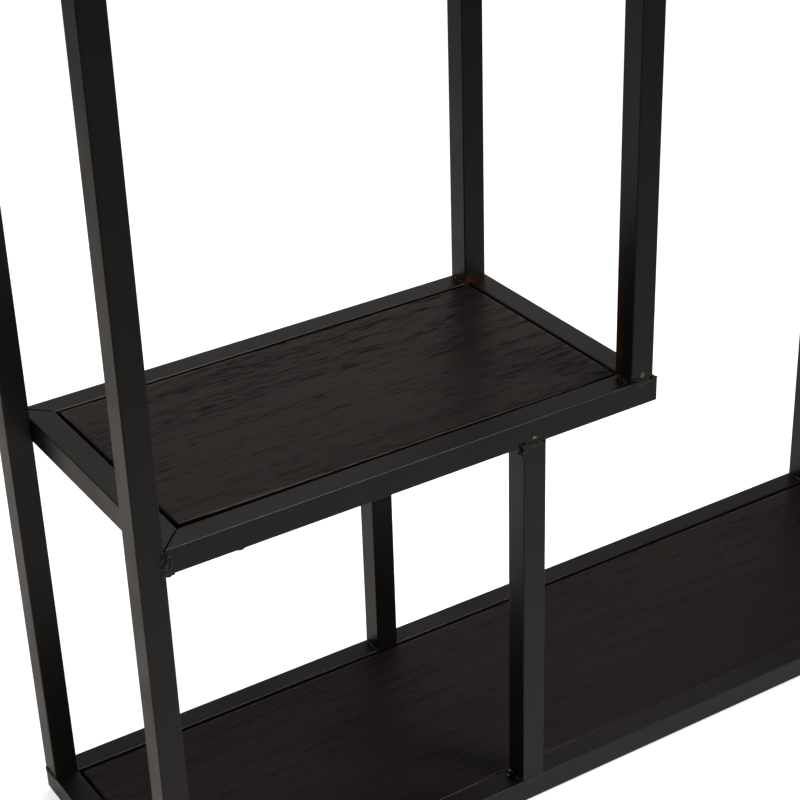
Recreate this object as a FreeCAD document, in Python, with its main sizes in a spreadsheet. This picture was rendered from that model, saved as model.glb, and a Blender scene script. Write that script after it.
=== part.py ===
import FreeCAD, Part

import enum
import math
import os

import Sketcher

# Zigzag bookshelf: a welded frame of square steel tube with six wood panels let into it.
# Half-width shelves reach in from the left and the right posts by turns. Each one passes the
# middle, rests there on a pair of short posts and carries the next pair on its free end, so the
# short posts step from side to side on their way up.
# Lengths are in millimetres: +X right, +Y back, +Z up, origin on the floor below the centre.

SIZES = (
    ("frame_width", 828, "outer width of the bottom and top frames"),
    ("frame_depth", 238, "outer depth of every shelf frame"),
    ("low_bay_pitch", 330, "height from the bottom shelf to the one above it"),
    ("shelf_pitch", 339, "height from one of the other shelves to the next"),
    ("tube_size", 20, "side of the square tube"),
    ("tube_wall", 1.2, "wall of the square tube"),
    ("tube_corner", 1, "outer corner radius of the square tube"),
    ("mitre_gap", 0.8, "open seam left between two mitred rails"),
    ("low_bay_width", 291, "clear width from the left posts to the first short posts"),
    ("shelf_overhang", 102.5, "reach of a half-width shelf past the short posts below it"),
    ("end_setback", 4.5, "step from a shelf's free end in to the short posts on it"),
    ("back_setback", 0.5, "step from the back of a shelf frame in to the back posts"),
    ("panel_thickness", 15, "thickness of a wood panel"),
    ("panel_recess", 0.8, "depth of a panel's face below the top of its frame"),
    ("panel_gap", 2.5, "open gap all round a panel"),
    ("panel_edge", 0.8, "bevel of a panel's upper edges"),
    ("lug_length", 32, "length of a lug along its rail"),
    ("lug_reach", 18, "reach of a lug from its rail"),
    ("lug_thickness", 2, "thickness of a lug"),
    ("lug_corner", 6, "length cut off each corner of a lug's free edge"),
    ("lug_inset", 48, "inside of the frame's end to the middle of the nearest lug"),
    ("weld_leg", 3, "leg of a weld bead"),
    ("pad_diameter", 16, "diameter of a floor pad"),
    ("pad_thickness", 3, "thickness of a floor pad"),
    ("cut_overrun", 1, "reach of a cut past the material it removes"),
)

HALF_SHELF_LUG_COUNT = 2
FULL_SHELF_LUG_COUNT = 3
PAD_ROW_COUNT = 2


class Point(enum.IntEnum):
    """The points of a sketched line, arc or circle that a constraint can take."""

    START = 1
    END = 2
    CENTRE = 3


# A sketch's own origin, as the first two terms of a constraint
ORIGIN_POINT = (-1, Point.START)

doc = FreeCAD.newDocument("zigzag_bookshelf")
sheet = doc.addObject("Spreadsheet::Sheet", "Sizes")
for row, (alias, number, meaning) in enumerate(SIZES, 1):
    sheet.set(f"A{row}", alias)
    sheet.set(f"B{row}", str(number))
    sheet.set(f"C{row}", meaning)
    sheet.setAlias(f"B{row}", alias)
doc.recompute()

# Planes of the frame, as expressions of the sheet's sizes
TUBE = "Sizes.tube_size"
LEFT = "(-Sizes.frame_width / 2)"
RIGHT = "(Sizes.frame_width / 2)"
FRONT = "(-Sizes.frame_depth / 2)"
BACK = "(Sizes.frame_depth / 2)"
INNER_FRONT = f"({FRONT} + {TUBE})"
INNER_LEFT = f"({LEFT} + {TUBE})"
INNER_RIGHT = f"({RIGHT} - {TUBE})"
BACK_POSTS = f"({BACK} - Sizes.back_setback - {TUBE})"
LEFT_STEP = f"({INNER_LEFT} + Sizes.low_bay_width)"
LEFT_SHELF_END = f"({LEFT_STEP} + {TUBE} + Sizes.shelf_overhang)"
RIGHT_STEP = f"({LEFT_SHELF_END} - Sizes.end_setback - {TUBE})"
RIGHT_SHELF_END = f"({RIGHT_STEP} - Sizes.shelf_overhang)"

# Each shelf from the floor up: its name, its two ends along X and its lugs on each long rail
SHELVES = (
    ("bottom_shelf", LEFT, RIGHT, FULL_SHELF_LUG_COUNT),
    ("lower_left_shelf", INNER_LEFT, LEFT_SHELF_END, HALF_SHELF_LUG_COUNT),
    ("lower_right_shelf", RIGHT_SHELF_END, INNER_RIGHT, HALF_SHELF_LUG_COUNT),
    ("upper_left_shelf", INNER_LEFT, LEFT_SHELF_END, HALF_SHELF_LUG_COUNT),
    ("upper_right_shelf", RIGHT_SHELF_END, INNER_RIGHT, HALF_SHELF_LUG_COUNT),
    ("top_shelf", LEFT, RIGHT, FULL_SHELF_LUG_COUNT),
)
BAYS = len(SHELVES) - 1


def shelf_underside(level):
    """Height of a shelf frame's lower face, for shelves counted from 0 at the floor."""
    if level == 0:
        return "Sizes.pad_thickness"
    return f"(Sizes.pad_thickness + Sizes.low_bay_pitch + {level - 1} * Sizes.shelf_pitch)"


def shelf_top(level):
    return f"({shelf_underside(level)} + {TUBE})"


def panel_underside(level):
    return f"({shelf_top(level)} - Sizes.panel_recess - Sizes.panel_thickness)"


def lug_underside(level):
    return f"({panel_underside(level)} - Sizes.lug_thickness)"


def short_post_face(bay):
    """Left face of the short posts in a bay, counted from 0: they step left and right by turns."""
    return RIGHT_STEP if bay % 2 else LEFT_STEP


def middle(x_low, x_high):
    return f"(({x_low} + {x_high}) / 2)"


def inside_width(x_low, x_high):
    return f"({x_high} - {x_low} - 2 * {TUBE})"


def lug_run(x_low, x_high):
    return f"({inside_width(x_low, x_high)} - 2 * Sizes.lug_inset)"


def amount(expression):
    return float(sheet.evalExpression(expression))


def new_body(label, x, y, z, turn=0):
    """An empty body at a place bound to the sheet, turned about the vertical."""
    body = doc.addObject("PartDesign::Body", label)
    body.Label = label
    vertical = FreeCAD.Vector(0, 0, 1)
    body.Placement = FreeCAD.Placement(FreeCAD.Vector(), FreeCAD.Rotation(vertical, turn))
    for axis, place in zip("xyz", (x, y, z)):
        body.setExpression(f"Placement.Base.{axis}", place)
    return body


def origin_feature(body, role):
    return next(feature for feature in body.Origin.OriginFeatures if feature.Role == role)


def new_sketch(body, role):
    sketch = body.newObject("Sketcher::SketchObject", f"{body.Name}_sketch")
    sketch.AttachmentSupport = (origin_feature(body, role), "")
    sketch.MapMode = "FlatFace"
    return sketch


def bind(sketch, dimensions):
    """Add dimensions, each a kind, the points it takes and an expression of the sheet's sizes."""
    first = sketch.ConstraintCount
    constraints = [
        Sketcher.Constraint(kind, *where, amount(expression))
        for kind, *where, expression in dimensions
    ]
    sketch.addConstraint(constraints)
    for index, (*_, expression) in enumerate(dimensions, first):
        sketch.setExpression(f"Constraints[{index}]", expression)


def quarter_arc(begin, finish):
    """Anticlockwise quarter circle between two points."""
    across = finish - begin
    centre = (begin + finish + FreeCAD.Vector(-across.y, across.x, 0)) / 2
    spoke = begin - centre
    circle = Part.Circle(centre, FreeCAD.Vector(0, 0, 1), spoke.Length)
    angle = math.atan2(spoke.y, spoke.x)
    return Part.ArcOfCircle(circle, angle, angle + math.pi / 2)


def outline(sketch, points, rounds=None):
    """Close an anticlockwise outline through points given as pairs of expressions.

    rounds maps a stretch, by the number of the point that it starts from, to the radius of the
    quarter circle that takes the place of its straight line.
    """
    rounds = rounds or {}
    places = [FreeCAD.Vector(amount(x), amount(y), 0) for x, y in points]
    first = sketch.GeometryCount
    for number, begin in enumerate(places):
        finish = places[(number + 1) % len(places)]
        make = quarter_arc if number in rounds else Part.LineSegment
        sketch.addGeometry(make(begin, finish), False)
    joins = []
    dimensions = []
    for number, (x, y) in enumerate(points):
        stretch = first + number
        following = first + (number + 1) % len(points)
        joins.append(Sketcher.Constraint("Coincident", stretch, Point.END, following, Point.START))
        dimensions.append(("DistanceX", *ORIGIN_POINT, stretch, Point.START, x))
        dimensions.append(("DistanceY", *ORIGIN_POINT, stretch, Point.START, y))
        if number in rounds:
            dimensions.append(("Radius", stretch, rounds[number]))
    sketch.addConstraint(joins)
    bind(sketch, dimensions)


def rectangle(sketch, x_low, y_low, x_high, y_high):
    outline(sketch, [(x_low, y_low), (x_high, y_low), (x_high, y_high), (x_low, y_high)])


def circle(sketch, x, y, diameter):
    place = FreeCAD.Vector(amount(x), amount(y), 0)
    ring = Part.Circle(place, FreeCAD.Vector(0, 0, 1), amount(diameter) / 2)
    piece = sketch.addGeometry(ring, False)
    bind(sketch, [
        ("DistanceX", *ORIGIN_POINT, piece, Point.CENTRE, x),
        ("DistanceY", *ORIGIN_POINT, piece, Point.CENTRE, y),
        ("Diameter", piece, diameter),
    ])


def tube_section(sketch):
    """Square tube in section: rounded outside, square bore."""
    corner = "Sizes.tube_corner"
    far = f"({TUBE} - {corner})"
    outside = [
        (corner, "0"), (far, "0"), (TUBE, corner), (TUBE, far),
        (far, TUBE), (corner, TUBE), ("0", far), ("0", corner),
    ]
    outline(sketch, outside, dict.fromkeys((1, 3, 5, 7), corner))
    wall = "Sizes.tube_wall"
    far_wall = f"({TUBE} - {wall})"
    rectangle(sketch, wall, wall, far_wall, far_wall)


def pad(body, sketch, length, backwards=False):
    feature = body.newObject("PartDesign::Pad", f"{body.Name}_pad")
    feature.Profile = sketch
    feature.setExpression("Length", length)
    feature.Reversed = backwards
    return feature


def pocket_through(body, sketch):
    """Cut from the body's floor plane upwards, right through."""
    feature = body.newObject("PartDesign::Pocket", f"{body.Name}_pocket")
    feature.Profile = sketch
    feature.Reversed = True
    feature.Type = "ThroughAll"
    return feature


def spread(body, feature, run, count):
    """Repeat a feature along X over a run, and mirror the row from the front to the back."""
    pattern = body.newObject("PartDesign::MultiTransform", f"{body.Name}_spread")
    pattern.Originals = [feature]
    in_line = body.newObject("PartDesign::LinearPattern", f"{body.Name}_row")
    in_line.Direction = (origin_feature(body, "X_Axis"), [""])
    in_line.setExpression("Length", run)
    in_line.Occurrences = count
    mirror = body.newObject("PartDesign::Mirrored", f"{body.Name}_mirror")
    mirror.MirrorPlane = (origin_feature(body, "XZ_Plane"), [""])
    pattern.Transformations = [in_line, mirror]
    body.Tip = pattern


def make_post(label, x, y, z_low, z_high):
    """Upright tube between two heights, placed by its left front corner."""
    body = new_body(label, x, y, z_low)
    section = new_sketch(body, "XY_Plane")
    tube_section(section)
    pad(body, section, f"{z_high} - {z_low}")
    return body


def make_rail(label, x, y, z, turn, length):
    """Level tube mitred at both ends: outer face on its own XZ plane, inner face one tube in."""
    body = new_body(label, x, y, z, turn)
    section = new_sketch(body, "YZ_Plane")
    tube_section(section)
    pad(body, section, length)
    over = "Sizes.cut_overrun"
    seam = "Sizes.mitre_gap / sqrt(2)"
    past_inside = f"({TUBE} + {over})"
    mitres = new_sketch(body, "XY_Plane")
    outline(mitres, [
        (f"-{over}", f"-{over}"),
        (f"{seam} - {over}", f"-{over}"),
        (f"{seam} + {past_inside}", past_inside),
        (f"-{over}", past_inside),
    ])
    outline(mitres, [
        (f"{length} + {over}", f"-{over}"),
        (f"{length} + {over}", past_inside),
        (f"{length} - {seam} - {past_inside}", past_inside),
        (f"{length} - {seam} + {over}", f"-{over}"),
    ])
    pocket_through(body, mitres)
    return body


def make_shelf_frame(name, x_low, x_high, level):
    """Four mitred rails in a ring, each turned so that its outer face looks out."""
    z = shelf_underside(level)
    width = f"({x_high} - {x_low})"
    depth = "Sizes.frame_depth"
    return [
        make_rail(f"{name}_front_rail", x_low, FRONT, z, 0, width),
        make_rail(f"{name}_right_rail", x_high, FRONT, z, 90, depth),
        make_rail(f"{name}_back_rail", x_high, BACK, z, 180, width),
        make_rail(f"{name}_left_rail", x_low, BACK, z, 270, depth),
    ]


def make_panel(name, x_low, x_high, level):
    """Wood panel with bevelled upper edges."""
    body = new_body(f"{name}_panel", middle(x_low, x_high), "0", panel_underside(level))
    half_width = f"({inside_width(x_low, x_high)} / 2 - Sizes.panel_gap)"
    half_depth = f"(Sizes.frame_depth / 2 - {TUBE} - Sizes.panel_gap)"
    face = new_sketch(body, "XY_Plane")
    rectangle(face, f"-{half_width}", f"-{half_depth}", half_width, half_depth)
    board = pad(body, face, "Sizes.panel_thickness")
    face.recompute()
    board.recompute()
    edges = enumerate(board.Shape.Edges, 1)
    halfway = board.Length.Value / 2
    upper = [f"Edge{number}" for number, edge in edges if edge.BoundBox.ZMin > halfway]
    bevel = body.newObject("PartDesign::Chamfer", f"{body.Name}_bevel")
    bevel.Base = (board, upper)
    bevel.setExpression("Size", "Sizes.panel_edge")
    return body


def make_lugs(name, x_low, x_high, level, lugs):
    """Flat lugs on the inner faces of the long rails, under the panel."""
    body = new_body(f"{name}_lugs", middle(x_low, x_high), "0", lug_underside(level))
    run = lug_run(x_low, x_high)
    low = f"(-{run} / 2 - Sizes.lug_length / 2)"
    high = f"(-{run} / 2 + Sizes.lug_length / 2)"
    corner = "Sizes.lug_corner"
    tip = f"({INNER_FRONT} + Sizes.lug_reach)"
    plate = new_sketch(body, "XY_Plane")
    outline(plate, [
        (low, INNER_FRONT), (high, INNER_FRONT),
        (high, f"{tip} - {corner}"), (f"{high} - {corner}", tip),
        (f"{low} + {corner}", tip), (low, f"{tip} - {corner}"),
    ])
    spread(body, pad(body, plate, "Sizes.lug_thickness"), run, lugs)
    return body


def post_ends(faces, low, high):
    """Inside corners at the feet and heads of posts whose side faces stand between two shelves."""
    feet = [(x, shelf_top(low), side, 1) for x, side in faces]
    heads = [(x, shelf_underside(high), side, -1) for x, side in faces]
    return feet + heads


def bead_groups():
    """Inside corners that beads fill: x, z and the ways along them, +1 or -1, that a bead grows."""
    for bay in range(BAYS):
        left = short_post_face(bay)
        right = f"({left} + {TUBE})"
        yield post_ends([(left, -1), (right, 1)], bay, bay + 1)
    yield post_ends([(INNER_LEFT, 1), (INNER_RIGHT, -1)], 0, BAYS)
    yield [(INNER_LEFT, shelf_underside(level), 1, -1) for level in range(1, BAYS, 2)]
    yield [(INNER_RIGHT, shelf_underside(level), -1, -1) for level in range(2, BAYS, 2)]


def make_weld_beads(label, posts):
    """Quarter-round beads across the flat of every post in the front or the back row."""
    body = new_body(label, "0", f"{posts} + Sizes.tube_corner", "0")
    leg = "Sizes.weld_leg"
    for corners in bead_groups():
        sections = new_sketch(body, "XZ_Plane")
        for x, z, side, rise in corners:
            ends = [(f"{x} + {side} * {leg}", z), (x, f"{z} + {rise} * {leg}")]
            if side * rise < 0:
                ends.reverse()
            outline(sections, [(x, z), *ends], {1: leg})
        pad(body, sections, f"{TUBE} - 2 * Sizes.tube_corner", backwards=True)
    return body


def make_floor_pads():
    """Round pads under the four corners of the bottom frame."""
    body = new_body("floor_pads", "0", "0", "0")
    disc = new_sketch(body, "XY_Plane")
    circle(disc, f"{LEFT} + {TUBE} / 2", f"{FRONT} + {TUBE} / 2", "Sizes.pad_diameter")
    spread(body, pad(body, disc, "Sizes.pad_thickness"), f"Sizes.frame_width - {TUBE}", PAD_ROW_COUNT)
    return body


nodes = [make_floor_pads()]
for level, (name, x_low, x_high, lugs) in enumerate(SHELVES):
    nodes += make_shelf_frame(name, x_low, x_high, level)
    nodes.append(make_panel(name, x_low, x_high, level))
    nodes.append(make_lugs(name, x_low, x_high, level, lugs))
for depth_name, y in (("front", FRONT), ("back", BACK_POSTS)):
    for side_name, x in (("left", LEFT), ("right", INNER_RIGHT)):
        label = f"{side_name}_{depth_name}_post"
        nodes.append(make_post(label, x, y, shelf_top(0), shelf_underside(BAYS)))
    for bay in range(BAYS):
        label = f"bay_{bay + 1}_{depth_name}_post"
        nodes.append(make_post(label, short_post_face(bay), y, shelf_top(bay), shelf_underside(bay + 1)))
    nodes.append(make_weld_beads(f"{depth_name}_weld_beads", y))
doc.recompute()

for item in doc.Objects:
    if {"Invalid", "Error"} & set(item.State):
        raise RuntimeError(f"{item.Label} failed: {item.State}")
    if item.TypeId == "PartDesign::Pocket" and item.Shape.Volume >= item.BaseFeature.Shape.Volume:
        raise RuntimeError(f"{item.Label} cuts nothing")
for node in nodes:
    if node.Shape.isNull() or not node.Shape.isValid():
        raise RuntimeError(f"{node.Label} has no sound shape")

os.makedirs("parts", exist_ok=True)
for node in nodes:
    node.Shape.exportStep(f"parts/{node.Label}.step")
    print(f"{node.Label}: {len(node.Shape.Solids)} solid(s), {node.Shape.Volume:.0f} mm3")
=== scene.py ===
"""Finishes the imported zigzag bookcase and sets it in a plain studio.

The frame of posts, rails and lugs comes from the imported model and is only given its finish. The
shelf boards, the welds and the felt pads are modelled here in place of their plain solids, and a
screw is driven up through each lug.
Lengths are in metres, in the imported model's own axes: +X right, +Y back, +Z up.
"""

import math
import random

import bmesh
import bpy
from mathutils import Matrix, Vector, noise


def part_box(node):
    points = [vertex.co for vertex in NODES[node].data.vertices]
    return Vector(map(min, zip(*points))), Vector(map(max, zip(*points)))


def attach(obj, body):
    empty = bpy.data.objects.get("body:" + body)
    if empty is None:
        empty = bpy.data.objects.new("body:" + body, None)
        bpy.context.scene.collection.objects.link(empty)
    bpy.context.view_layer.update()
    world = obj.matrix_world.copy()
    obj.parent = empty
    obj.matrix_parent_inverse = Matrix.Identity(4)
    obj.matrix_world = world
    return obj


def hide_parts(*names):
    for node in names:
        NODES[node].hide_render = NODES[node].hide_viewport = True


bl_info = {
    "name": "Zigzag Bookcase",
    "version": (1, 0, 0),
    "blender": (4, 5, 0),
    "location": "View3D > Sidebar > Bookcase",
    "description": "Finishes the packed zigzag bookcase and sets it in a plain studio",
    "category": "Object",
}

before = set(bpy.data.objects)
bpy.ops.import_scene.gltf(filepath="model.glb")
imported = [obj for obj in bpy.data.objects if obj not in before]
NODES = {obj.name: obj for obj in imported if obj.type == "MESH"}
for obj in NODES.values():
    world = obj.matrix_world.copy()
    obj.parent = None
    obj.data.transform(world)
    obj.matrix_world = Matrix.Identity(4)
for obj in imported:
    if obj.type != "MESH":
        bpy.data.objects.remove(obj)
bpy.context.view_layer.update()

MM = 0.001
LEFT = Vector((-1, 0, 0))
RIGHT = Vector((1, 0, 0))
FORWARD = Vector((0, -1, 0))
BACKWARD = Vector((0, 1, 0))
UP = Vector((0, 0, 1))
DOWN = Vector((0, 0, -1))

OUTER_POSTS = ("left_front_post", "right_front_post", "left_back_post", "right_back_post")
FRONT_SHORT_POSTS = tuple(f"bay_{bay}_front_post" for bay in range(1, 6))
SHELVES = ("bottom_shelf", "lower_left_shelf", "lower_right_shelf", "upper_left_shelf",
           "upper_right_shelf", "top_shelf")
# Half-width shelves, and the side on which each one meets an outer post
SHELF_ENDS = (("lower_left_shelf", LEFT), ("upper_left_shelf", LEFT),
              ("lower_right_shelf", RIGHT), ("upper_right_shelf", RIGHT))
# Bays whose post feet have bled a little rust on to the shelf that carries them
RUSTED_BAYS = (2, 4)
# Posts whose feet were ground clean on the front, with their weld heaped behind the left corner
HEAPED_FEET = ("bay_1_front_post",)
# Boards that fit their frames unevenly: how many millimetres right, back and up each corner is
# from its drawn place, in the order front left, front right, back left, back right
UNEVEN_FITS = {
    "bottom_shelf": ((0.4, -1.8, 0.0), (0.0, -1.8, 0.0), (0.4, 0.0, 0.0), (0.0, 0.0, 0.0)),
    "lower_left_shelf": ((0.4, 0.8, 1.3), (0.6, 0.3, 0.2), (0.4, 0.4, 0.3), (0.6, 0.2, 0.0)),
}
# Roughness of the powder where it is glossiest and dullest. The melted skin of a weld takes it
# smoother than the rolled tube does
TUBE_ROUGHNESS = (0.34, 0.42)
WELD_ROUGHNESS = (0.22, 0.34)
# How strongly the grain shows in most boards, and in the bottom one
FULL_FIGURE = 1.0
PLAIN_FIGURE = 0.75
# Spacing of the points of a bead, a ground seam and a seam left as welded, and how far the edges of
# each dip under the faces that they join
BEAD_STEP, BEAD_SINK = 0.5 * MM, 0.3 * MM
SEAM_STEP, SEAM_SINK = 0.4 * MM, 0.15 * MM
SCALES_STEP, SCALES_SINK = 0.35 * MM, 0.3 * MM
# How thick the painted shade lies along an open mitre: a near-black strip that stands for the shade
# in the gap
MITRE_SHADE_RISE = 0.06 * MM
# By how much a seam falls short of the post that it crosses
FRONT_SEAM_SHORT = 2 * MM
SIDE_SEAM_SHORT = 1 * MM
# Points of a mesh that are nearer than this are one point
SAME_POINT = 0.01 * MM
# Seeds of the unevenness
BOARD_SEED = 3
WELD_SEED = 11
SCREW_SEED = 5
# The floor's painted pool of light, seen only in reflections, has faded out at this many of its
# radii
POOL_FADE = 2.2
# Nearest and farthest that the camera sees
CAMERA_RANGE = (0.05, 200)


def linear(colour):
    """Linear RGBA of an sRGB colour written as #rrggbb."""
    shares = [int(colour[place:place + 2], 16) / 255 for place in (1, 3, 5)]
    return [s / 12.92 if s <= 0.04045 else ((s + 0.055) / 1.055) ** 2.4 for s in shares] + [1.0]


def colour_property(name, description, colour):
    """A colour that a user can change, with an sRGB hex default."""
    return bpy.props.FloatVectorProperty(
        name=name, description=description, subtype="COLOR", size=4, min=0, max=1,
        default=linear(colour))


def length_property(name, description, default):
    """A length that a user can change."""
    return bpy.props.FloatProperty(
        name=name, description=description, subtype="DISTANCE", unit="LENGTH", min=0,
        default=default)


def place_property(name, description, default):
    """A point that a user can move."""
    return bpy.props.FloatVectorProperty(
        name=name, description=description, subtype="XYZ", unit="LENGTH", default=default)


def angle_property(name, description, degrees):
    """An angle that a user can change."""
    return bpy.props.FloatProperty(
        name=name, description=description, subtype="ANGLE", unit="ROTATION",
        default=math.radians(degrees))


def amount_property(name, description, default, unit="NONE"):
    """A lamp's power, or another strength of light, that a user can change."""
    return bpy.props.FloatProperty(
        name=name, description=description, unit=unit, min=0, default=default)


class BOOKCASE_PG_finish(bpy.types.PropertyGroup):
    """Colours of the bookcase."""

    coat: colour_property("Powder coat", "Black of the coated steel", "#0d0d0c")
    rust: colour_property("Rust", "Rust that has bled through the coat at a few welds", "#3e2411")
    stain: colour_property("Veneer stain", "Black-brown of the stained veneer", "#171213")
    pores: colour_property("Veneer pores", "Stain that has settled in the open pores", "#060404")
    ridges: colour_property("Veneer ridges", "Harder grain that took less stain", "#1f1a1a")
    # The cut edges' near-black is painted shade for the gap between board and frame
    edges: colour_property("Panel edges", "Black paint on the cut edges of the panels", "#060505")
    dust: colour_property("Dust", "Pale dust on the boards", "#7d7874")
    bare: colour_property("Bare steel", "Steel where the powder has come off a weld", "#6c6966")
    # Near-black of the painted shade in weld pits, notches and cracks and along the open mitres
    crevice_shade: colour_property("Slag", "Slag and soot in pits and open seams", "#040404")
    screws: colour_property("Panel screws", "Black oxide on the panel screws", "#2a2928")
    felt: colour_property("Felt pads", "Grey wool of the floor pads", "#4b4845")


class BOOKCASE_PG_boards(bpy.types.PropertyGroup):
    """How the shelf boards are cut and fitted."""

    edge: length_property("Eased edge", "Radius of a board's sanded edges", 0.8 * MM)
    play: length_property("Play", "How far a board's corners may lie off their place", 0.5 * MM)


class BOOKCASE_PG_welds(bpy.types.PropertyGroup):
    """Sizes of the welds."""

    leg: length_property("Bead leg", "Leg of a front post's fillet bead", 2.4 * MM)
    back_leg: length_property("Back bead leg", "Leg of a back post's fillet bead", 1.4 * MM)
    ripple: length_property("Ripple", "Spacing of a bead's ripples", 2.2 * MM)
    scale: length_property("Scale", "Spacing of the scales of a seam left as welded", 3.0 * MM)
    seam_width: length_property("Seam width", "Width of a seam ground back on the front", 7 * MM)
    seam_rise: length_property("Seam rise", "Metal left standing on a ground seam", 0.25 * MM)
    lump_width: length_property("Lump width", "Width of a seam left as it was welded", 12 * MM)
    lump_rise: length_property("Lump rise", "Height of a seam left as it was welded", 1.6 * MM)
    spatter: length_property("Spatter", "Size of a drop of spatter", 1.2 * MM)
    # The strip along an open mitre is painted shade, for the shade in the gap
    mitre_shade_width: length_property("Grime width", "Width of the grime along an open mitre", 2.2 * MM)


class BOOKCASE_PG_fixings(bpy.types.PropertyGroup):
    """Sizes of the panel screws and the floor pads."""

    screw_reach: length_property("Screw reach", "Rail to the axis of a panel screw", 11 * MM)
    head_width: length_property("Head width", "Diameter of a screw's pan head", 8 * MM)
    head_height: length_property("Head height", "Height of a screw's pan head", 1.9 * MM)
    recess_width: length_property("Recess width", "Tip to tip of a screw's cross recess", 4.2 * MM)
    recess_slot: length_property("Recess slot", "Width of one slot of the recess", 1.0 * MM)
    recess_depth: length_property("Recess depth", "Depth of the recess", 1.3 * MM)
    felt_fuzz: length_property("Felt fuzz", "Unevenness of a pad's cut edge", 0.35 * MM)


class BOOKCASE_PG_stage(bpy.types.PropertyGroup):
    """The camera, the lamps and the floor."""

    camera_place: place_property("Camera", "Where the camera stands", (-0.8452, -1.1413, 1.0682))
    camera_aim: place_property(
        "Aim", "Point on the front of the shelves that the lens looks at",
        (-0.2558, -0.1190, 0.4033))
    camera_roll: angle_property("Roll", "Tilt of the camera about its own line of sight", -2.874)
    lens: bpy.props.FloatProperty(
        name="Lens", description="Focal length in millimetres", subtype="DISTANCE_CAMERA",
        default=90.382)
    shift: bpy.props.FloatVectorProperty(
        name="Shift", description="Shift of the lens, in widths of the picture", size=2,
        default=(0.075, 0.03))
    floor_radius: length_property("Floor", "Radius of the floor", 40.0)
    floor_glow: amount_property("Floor glow", "White that the floor adds for the eye", 0.75)
    # The pool is painted light: a white glow that the floor shows only in reflections, fading away
    # from the bookcase
    painted_pool_glow: amount_property("Pool glow", "White that the floor adds in reflections", 0.24)
    pool_middle: place_property("Pool", "Middle of the floor's white pool", (0.2, 0.7, 0.0))
    pool_radius: length_property("Pool radius", "Radius of the floor's even white", 1.0)
    paper: colour_property("Paper", "White of the floor's paper", "#e8e8e8")
    lamp_tint: colour_property("Lamp tint", "Warm white of the softboxes", "#fff6ee")
    overhead_place: place_property(
        "Overhead softbox", "Middle of the softbox that faces the floor", (0.4, 0.6, 2.1))
    overhead_size: length_property("Overhead size", "Width of the overhead softbox", 1.4)
    overhead_power: amount_property(
        "Overhead power", "Power of the overhead softbox", 28, "POWER")
    front_place: place_property(
        "Front softbox", "Middle of the softbox that edges the front rails", (0.6, -1.15, 1.95))
    front_size: length_property("Front size", "Width of the front softbox", 0.7)
    front_power: amount_property("Front power", "Power of the front softbox", 4.5, "POWER")
    front_spread: angle_property(
        "Front spread", "Angle that the grid on the front softbox lets out", 60)
    wall_tint: colour_property("Wall tint", "Warm white of the studio walls", "#fff8f2")
    wall_light: amount_property("Wall light", "Light from the walls at the floor", 0.8)
    ceiling_light: amount_property("Ceiling light", "Light from the ceiling", 0.05)


def add_node(tree, kind, inputs=None, **settings):
    """Add one node. An input is a plain value, or the socket or node that it is linked from.

    A node that is linked from gives its first socket in use.
    """
    node = tree.nodes.new(kind)
    for name, value in settings.items():
        setattr(node, name, value)
    for name, value in (inputs or {}).items():
        if isinstance(value, bpy.types.Node):
            value = next(socket for socket in value.outputs if socket.enabled)
        if isinstance(value, bpy.types.NodeSocket):
            tree.links.new(value, node.inputs[name])
        else:
            node.inputs[name].default_value = value
    return node


def calculate(tree, operation, *numbers, **settings):
    """Add a node that calculates with numbers."""
    return add_node(tree, "ShaderNodeMath", dict(enumerate(numbers)), operation=operation,
                    **settings)


def calculate_vector(tree, operation, *vectors):
    """Add a node that calculates with vectors."""
    return add_node(tree, "ShaderNodeVectorMath", dict(enumerate(vectors)), operation=operation)


def remap(tree, value, old, new, interpolation="LINEAR"):
    """Add a node that carries a value from an old range to a new one, and not past its ends."""
    return add_node(tree, "ShaderNodeMapRange", {
        "Value": value, "From Min": old[0], "From Max": old[1], "To Min": new[0], "To Max": new[1]},
        interpolation_type=interpolation)


def mix_colours(tree, share, first, second):
    """Add a node that blends two colours. Where share is 1, only the second one is left."""
    return add_node(tree, "ShaderNodeMix", {0: share, 6: first, 7: second}, data_type="RGBA")


def add_noise(tree, place, size, detail, distortion=0.0):
    """Add a noise whose patches are about as large as size."""
    return add_node(tree, "ShaderNodeTexNoise", {
        "Vector": place, "Scale": 1 / size, "Detail": detail, "Distortion": distortion})


def give_surface(tree, inputs):
    """Make one shader, with these inputs, the surface of a material."""
    shader = add_node(tree, "ShaderNodeBsdfPrincipled", inputs)
    add_node(tree, "ShaderNodeOutputMaterial", {"Surface": shader})


def new_material(name):
    """An empty material and its node tree."""
    material = bpy.data.materials.new(name)
    material.use_nodes = True
    tree = material.node_tree
    tree.nodes.clear()
    return material, tree


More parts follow.
